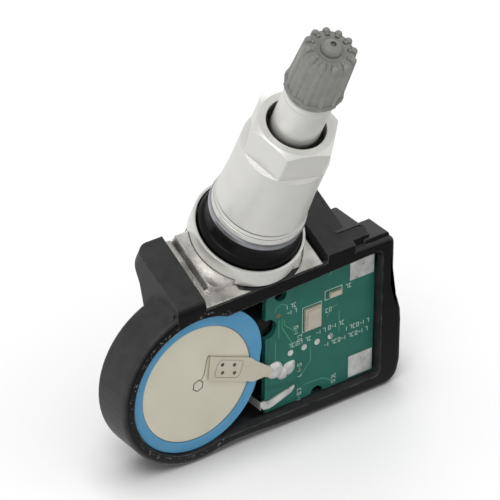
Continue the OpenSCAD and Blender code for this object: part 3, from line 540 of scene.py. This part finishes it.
def box_pts(x0, x1, z0, z1):
    return [(x0, z0), (x1, z0), (x1, z1), (x0, z1)]


M_SILK = surface("silk_white", (0.36, 0.52, 0.44), (0.52, 0.66, 0.57), (0.5, 0.6), scale=2500)
M_TRACE = surface("board_trace", (0.045, 0.26, 0.15), (0.06, 0.3, 0.18), (0.3, 0.4))
M_GOLD = surface("via_gold", (0.35, 0.24, 0.1), (0.5, 0.36, 0.16), (0.3, 0.4), 0.6)

# The circuit board's face, with places as (x, z)
SILK_W = 0.13
TRACE_W = 0.16
TEST_POINTS_X = (5.0, 7.85, 10.55, 13.35)
TEST_POINT_Z = -24.3
TEST_POINT_RISE = 0.06
TEST_POINT_R = 0.56
VIA_R = 0.42
ROUTES = [
    [(1.9, -21.0), (1.9, -25.2)],
    [(2.55, -16.9), (2.55, -20.4)],
    [(1.7, -15.2), (2.1, -14.2), (3.2, -13.9), (4.2, -14.6)],
    [(3.2, -16.9), (3.2, -18.6), (5.3, -22.4)],
    [(3.7, -17.2), (3.7, -18.3), (6.2, -20.6)],
    [(15.1, -19.6), (15.1, -23.8)],
    [(9.2, -24.6), (9.2, -27.4), (7.4, -29.5)],
    [(7.8, -31.85), (11.3, -31.85), (12.3, -32.2), (13.6, -33.2)],
    [(12.5, -19.9), (13.6, -18.5), (14.7, -18.2)],
    [(12.8, -11.9), (13.7, -11.1), (16.4, -10.75)],
]
CAPACITOR_BOX = box_pts(12.05, 15.55, -16.5, -14.75)
CRYSTAL_BOX = box_pts(7.42, 11.32, -21.2, -16.35)
stroke("capacitor_outline", CAPACITOR_BOX, SILK_W, BOARD_FACE, M_SILK, closed=True)
stroke("crystal_outline", CRYSTAL_BOX, SILK_W, BOARD_FACE, M_SILK, closed=True)
for i, x in enumerate(TEST_POINTS_X):
    point = circle(x, TEST_POINT_Z + TEST_POINT_RISE * i, TEST_POINT_R)
    patch(f"test_point_{i}", point, BOARD_FACE, M_TINNED)
for i, route in enumerate(ROUTES):
    stroke(f"trace_{i}", route, TRACE_W, BOARD_FACE, M_TRACE)
patch("via", circle(2.5, -16.0, VIA_R), BOARD_FACE, M_GOLD)

# Generic marks where the board carries print, as (x, z, how many, turn in degrees)
MARKS = [
    (4.2, -15.0, 3, 0), (4.3, -16.2, 3, 0), (6.1, -19.4, 3, 90), (6.9, -21.5, 3, 90),
    (4.7, -22.9, 3, 0), (7.4, -22.9, 3, 0), (10.4, -22.4, 3, 0), (12.9, -22.3, 5, 0),
    (12.3, -18.7, 2, 0), (16.4, -15.4, 2, 0), (16.7, -23.9, 7, 0), (12.1, -25.5, 13, 0),
    (6.9, -27.2, 4, 90), (6.9, -32.3, 4, 90), (14.1, -31.9, 3, 90),
]
# Plain strokes, corners and boxes that stand for characters without spelling any
GLYPHS = [
    [(0, -1), (0, 1)],
    [(0, -1), (1, -1), (1, 1), (0, 1), (0, -1)],
    [(0, 1), (1, 1), (1, -1)],
    [(0, 0), (1, 0)],
    [(1, 1), (0, 1), (0, -1), (1, -1)],
]
GLYPH_STEP = 0.72
GLYPH_W = 0.4
GLYPH_HALF_H = 0.38
GLYPH_LINE_W = 0.12
for i, (x, z, count, turn) in enumerate(MARKS):
    for k in range(count):
        step = GLYPH_STEP * k
        glyph = GLYPHS[(i * 3 + k * 2) % len(GLYPHS)]
        if turn == 0:
            line = [(x + step + GLYPH_W * u, z + GLYPH_HALF_H * v) for u, v in glyph]
        else:
            line = [(x + GLYPH_HALF_H * v, z - step - GLYPH_W * u) for u, v in glyph]
        stroke(f"mark_{i}_{k}", line, GLYPH_LINE_W, BOARD_FACE, M_SILK)

# Lines scribed on the cell's face
CELL_LINE_R = 10.74
CELL_LINE_W = 0.1
HEXAGON_X = -14.35
HEXAGON_Z = -22.9
HEXAGON_R = 1.05
HEXAGON_TURN = math.radians(20)
HEXAGON_LINE_W = 0.16
ring = circle(CELL_X, CELL_Z, CELL_LINE_R, 96)
stroke("cell_ring_line", ring, CELL_LINE_W, CELL_FACE, M_LINE_AND_SHADE, closed=True)
hexagon = circle(HEXAGON_X, HEXAGON_Z, HEXAGON_R, 6, HEXAGON_TURN)
stroke("cell_hexagon", hexagon, HEXAGON_LINE_W, CELL_FACE, M_LINE_AND_SHADE, closed=True)

# Weld dots on the strip, and the rounded outline round them
WELDS = ((-9.73, -20.33), (-9.73, -21.9), (-7.32, -21.26), (-7.32, -22.84))
WELD_R = 0.34
WELD_LINE_W = 0.06
WELDS_X = -8.53
WELDS_Z = -21.58
STRIP_TURN = math.radians(21.8)
WELD_BOX = ((-2.6, -1.0), (-2.1, -1.6), (2.3, -1.6), (2.8, -1.1),
            (2.8, 1.1), (2.3, 1.6), (-2.1, 1.6), (-2.6, 1.0))


def on_strip(u, v):
    """The place u along the strip and v across it, from the middle of the welds, as (x, z)."""
    c, n = math.cos(STRIP_TURN), math.sin(STRIP_TURN)
    return WELDS_X + u * c + v * n, WELDS_Z - u * n + v * c


for i, (x, z) in enumerate(WELDS):
    patch(f"weld_{i}", circle(x, z, WELD_R, 16), TAB_FACE, M_LINE_AND_SHADE)
weld_outline = [on_strip(u, v) for u, v in WELD_BOX]
stroke("weld_outline", weld_outline, WELD_LINE_W, TAB_FACE, M_LINE_AND_SHADE, closed=True)

# The line scribed on the cell beside the strip's left end
STRIP_EDGE = [(-13.75, -22.0), (-13.2, -21.2), (-12.55, -18.3), (-12.35, -17.9), (-12.0, -17.8)]
STRIP_EDGE_W = 0.13
stroke("strip_edge_left", STRIP_EDGE, STRIP_EDGE_W, CELL_FACE, M_LINE_AND_SHADE)


# Floor, light and camera

FLOOR_HALF = 3


def floor_material():
    """White paper that glows a little for the camera, with a painted contact shadow near the object, and
    a painted reflection: reflections see a glow of its own in place of its lit colour.
    """
    m, nt, p = tree("floor_white")
    out = nt.nodes["Material Output"]
    white = nt.nodes.new("ShaderNodeRGB")
    white.outputs[0].default_value = (1, 1, 1, 1)
    # Painted contact shadow: the floor's colour darkened where the object closes it in
    nt.links.new(paint_occlusion_shade(nt, white.outputs[0], 10, 0.25, 0.95), p.inputs["Base Color"])
    p.inputs["Roughness"].default_value = 0.9
    p.inputs["Specular IOR Level"].default_value = 0.1
    path = nt.nodes.new("ShaderNodeLightPath")
    glow = nt.nodes.new("ShaderNodeEmission")
    glow.inputs["Strength"].default_value = 0.02
    nt.links.new(path.outputs["Is Camera Ray"], glow.inputs["Color"])
    both = nt.nodes.new("ShaderNodeAddShader")
    nt.links.new(p.outputs[0], both.inputs[0])
    nt.links.new(glow.outputs[0], both.inputs[1])
    # Painted reflection: in reflections the floor glows white behind the object and falls off in front
    # of it
    co = nt.nodes.new("ShaderNodeTexCoord")
    where = nt.nodes.new("ShaderNodeVectorMath")
    where.operation = "DOT_PRODUCT"
    where.inputs[1].default_value = (-0.5, 0.8, 0)
    nt.links.new(co.outputs["Object"], where.inputs[0])
    fall = map_range(nt, where.outputs["Value"], -0.06, 0.04, 0.3, 1.0, curve="SMOOTHSTEP")
    painted_reflection = nt.nodes.new("ShaderNodeEmission")
    nt.links.new(fall, painted_reflection.inputs["Strength"])
    pick = nt.nodes.new("ShaderNodeMixShader")
    nt.links.new(path.outputs["Is Glossy Ray"], pick.inputs["Fac"])
    nt.links.new(both.outputs[0], pick.inputs[1])
    nt.links.new(painted_reflection.outputs[0], pick.inputs[2])
    nt.links.new(pick.outputs[0], out.inputs["Surface"])
    return m


def stage():
    """The floor lies at the CAD's lowest point."""
    z = cad_box[0][2]
    corners = [(-FLOOR_HALF, -FLOOR_HALF, z), (FLOOR_HALF, -FLOOR_HALF, z),
               (FLOOR_HALF, FLOOR_HALF, z), (-FLOOR_HALF, FLOOR_HALF, z)]
    floor = mesh_object("floor", corners, [(0, 1, 2, 3)], floor_material())


def light():
    """A white world, and three round lamps that face the origin, as (name, place, size, watts)."""
    world = bpy.data.worlds.new("studio")
    world.use_nodes = True
    bpy.context.scene.world = world
    bg = world.node_tree.nodes["Background"]
    bg.inputs["Color"].default_value = (1, 1, 1, 1)
    bg.inputs["Strength"].default_value = 0.74
    for name, where, size, watts in [
        ("key", (-0.45, -0.35, 0.95), 0.5, 3.3),
        ("fill", (0.9, -0.5, 0.5), 0.8, 0.6),
        ("back", (0.45, 0.65, 0.5), 0.5, 1.0),
    ]:
        lamp = bpy.data.lights.new(name, "AREA")
        lamp.shape = "DISK"
        lamp.size = size
        lamp.energy = watts
        o = bpy.data.objects.new(name, lamp)
        o.location = where
        o.rotation_mode = "QUATERNION"
        o.rotation_quaternion = (-Vector(where)).to_track_quat("-Z", "Y")
        bpy.context.scene.collection.objects.link(o)


def camera():
    """The photo's camera, in radians and millimetres, as solved from the circles of the turned parts."""
    azimuth, elevation, roll = 0.629, 0.559, 0.006
    distance, shift_right, shift_up = 600.0, 0.148, -4.063
    lens = 264.25
    back = Vector((-math.sin(azimuth) * math.cos(elevation), -math.cos(azimuth) * math.cos(elevation),
                   math.sin(elevation)))
    right = Vector((0, 0, 1)).cross(back).normalized()
    up = back.cross(right)
    x = right * math.cos(roll) + up * math.sin(roll)
    y = up * math.cos(roll) - right * math.sin(roll)
    cam = bpy.data.cameras.new("camera")
    cam.lens = lens
    cam.sensor_width = 36
    cam.clip_start, cam.clip_end = 0.05, 20
    o = bpy.data.objects.new("camera", cam)
    place = (right * shift_right + up * shift_up + back * distance) * MM
    m = Matrix((x, y, back)).transposed().to_4x4()
    m.translation = place
    o.matrix_world = m
    bpy.context.scene.collection.objects.link(o)
    bpy.context.scene.camera = o


stage()
light()
camera()
bpy.context.scene.view_settings.view_transform = "Standard"
